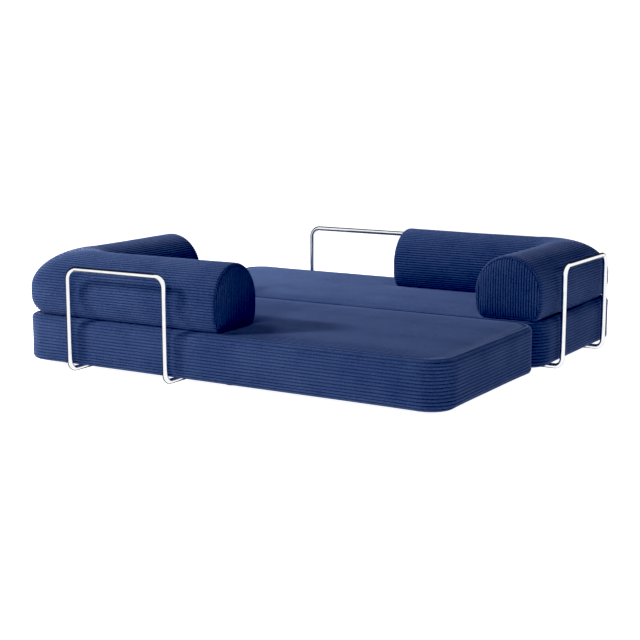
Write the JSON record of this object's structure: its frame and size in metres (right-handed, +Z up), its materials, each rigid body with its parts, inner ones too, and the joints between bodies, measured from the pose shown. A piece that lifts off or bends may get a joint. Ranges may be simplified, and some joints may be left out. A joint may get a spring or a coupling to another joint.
{
  "type": "futon sofa bed",
  "caption": "Futon sofa bed laid out as a bed: two corduroy mattresses side by side, an L-shaped bolster on each, and bent chrome tube loops that stand under their edges.",
  "frame": {"origin": "on the floor, in the middle of the whole bed's footprint, loops included", "axes": "+X along the mattresses, towards the end with a loop outside it; +Y from the front mattress to the back mattress; +Z up"},
  "size_m": [2.039, 1.878, 0.4864],
  "materials": {
    "corduroy": "matte",
    "foam": "matte",
    "soft_foam": "matte",
    "plywood": "matte",
    "chrome": "polished",
    "black_plastic": "matte",
    "zip_tape": "matte",
    "zip_metal": "satin"
  },
  "bodies": {
    "back_mattress": {"back_mattress_cover": "corduroy", "back_base_board": "plywood", "back_foam_core": "foam", "back_comfort_layer": "soft_foam", "back_foot_1": "black_plastic", "back_foot_2": "black_plastic", "back_foot_3": "black_plastic", "back_foot_4": "black_plastic", "back_foot_5": "black_plastic", "back_foot_6": "black_plastic", "back_mattress_zip_tape": "zip_tape"},
    "front_mattress": {"front_mattress_cover": "corduroy", "front_base_board": "plywood", "front_foam_core": "foam", "front_comfort_layer": "soft_foam", "front_foot_1": "black_plastic", "front_foot_2": "black_plastic", "front_foot_3": "black_plastic", "front_foot_4": "black_plastic", "front_foot_5": "black_plastic", "front_foot_6": "black_plastic", "front_mattress_zip_tape": "zip_tape"},
    "left_bolster": {"left_bolster_cover": "corduroy", "left_bolster_long_foam": "foam", "left_bolster_short_foam": "foam", "left_bolster_zip_tape": "zip_tape"},
    "right_bolster": {"right_bolster_cover": "corduroy", "right_bolster_long_foam": "foam", "right_bolster_short_foam": "foam", "right_bolster_zip_tape": "zip_tape"},
    "front_loop": {"front_loop_tube": "chrome", "front_loop_plug_1": "black_plastic", "front_loop_plug_2": "black_plastic"},
    "right_loop": {"right_loop_tube": "chrome", "right_loop_plug_1": "black_plastic", "right_loop_plug_2": "black_plastic"},
    "back_loop": {"back_loop_tube": "chrome", "back_loop_plug_1": "black_plastic", "back_loop_plug_2": "black_plastic"},
    "front_mattress_zip": {"front_mattress_zip_slider": "zip_metal"},
    "back_mattress_zip": {"back_mattress_zip_slider": "zip_metal"},
    "left_bolster_zip": {"left_bolster_zip_slider": "zip_metal"},
    "right_bolster_zip": {"right_bolster_zip_slider": "zip_metal"}
  },
  "joints": [
    {"name": "front_mattress_slide", "type": "slide", "parent": "back_mattress", "child": "front_mattress", "axis": [0, -1, 0], "range_m": [0, 0.6]},
    {"name": "left_bolster_lift", "type": "slide", "parent": "front_mattress", "child": "left_bolster", "axis": [0, 0, 1], "range_m": [0, 0.4]},
    {"name": "right_bolster_lift", "type": "slide", "parent": "back_mattress", "child": "right_bolster", "axis": [0, 0, 1], "range_m": [0, 0.4]},
    {"name": "front_loop_pull", "type": "slide", "parent": "front_mattress", "child": "front_loop", "axis": [0, -1, 0], "range_m": [0, 0.35]},
    {"name": "right_loop_pull", "type": "slide", "parent": "back_mattress", "child": "right_loop", "axis": [1, 0, 0], "range_m": [0, 0.35]},
    {"name": "back_loop_pull", "type": "slide", "parent": "back_mattress", "child": "back_loop", "axis": [0, 1, 0], "range_m": [0, 0.35]},
    {"name": "front_mattress_zip_slide", "type": "slide", "parent": "front_mattress", "child": "front_mattress_zip", "axis": [1, 0, 0], "range_m": [0, 1.4]},
    {"name": "back_mattress_zip_slide", "type": "slide", "parent": "back_mattress", "child": "back_mattress_zip", "axis": [-1, 0, 0], "range_m": [0, 1.4]},
    {"name": "left_bolster_zip_slide", "type": "slide", "parent": "left_bolster", "child": "left_bolster_zip", "axis": [0, 1, 0], "range_m": [0, 0.32]},
    {"name": "right_bolster_zip_slide", "type": "slide", "parent": "right_bolster", "child": "right_bolster_zip", "axis": [0, -1, 0], "range_m": [0, 0.32]}
  ]
}
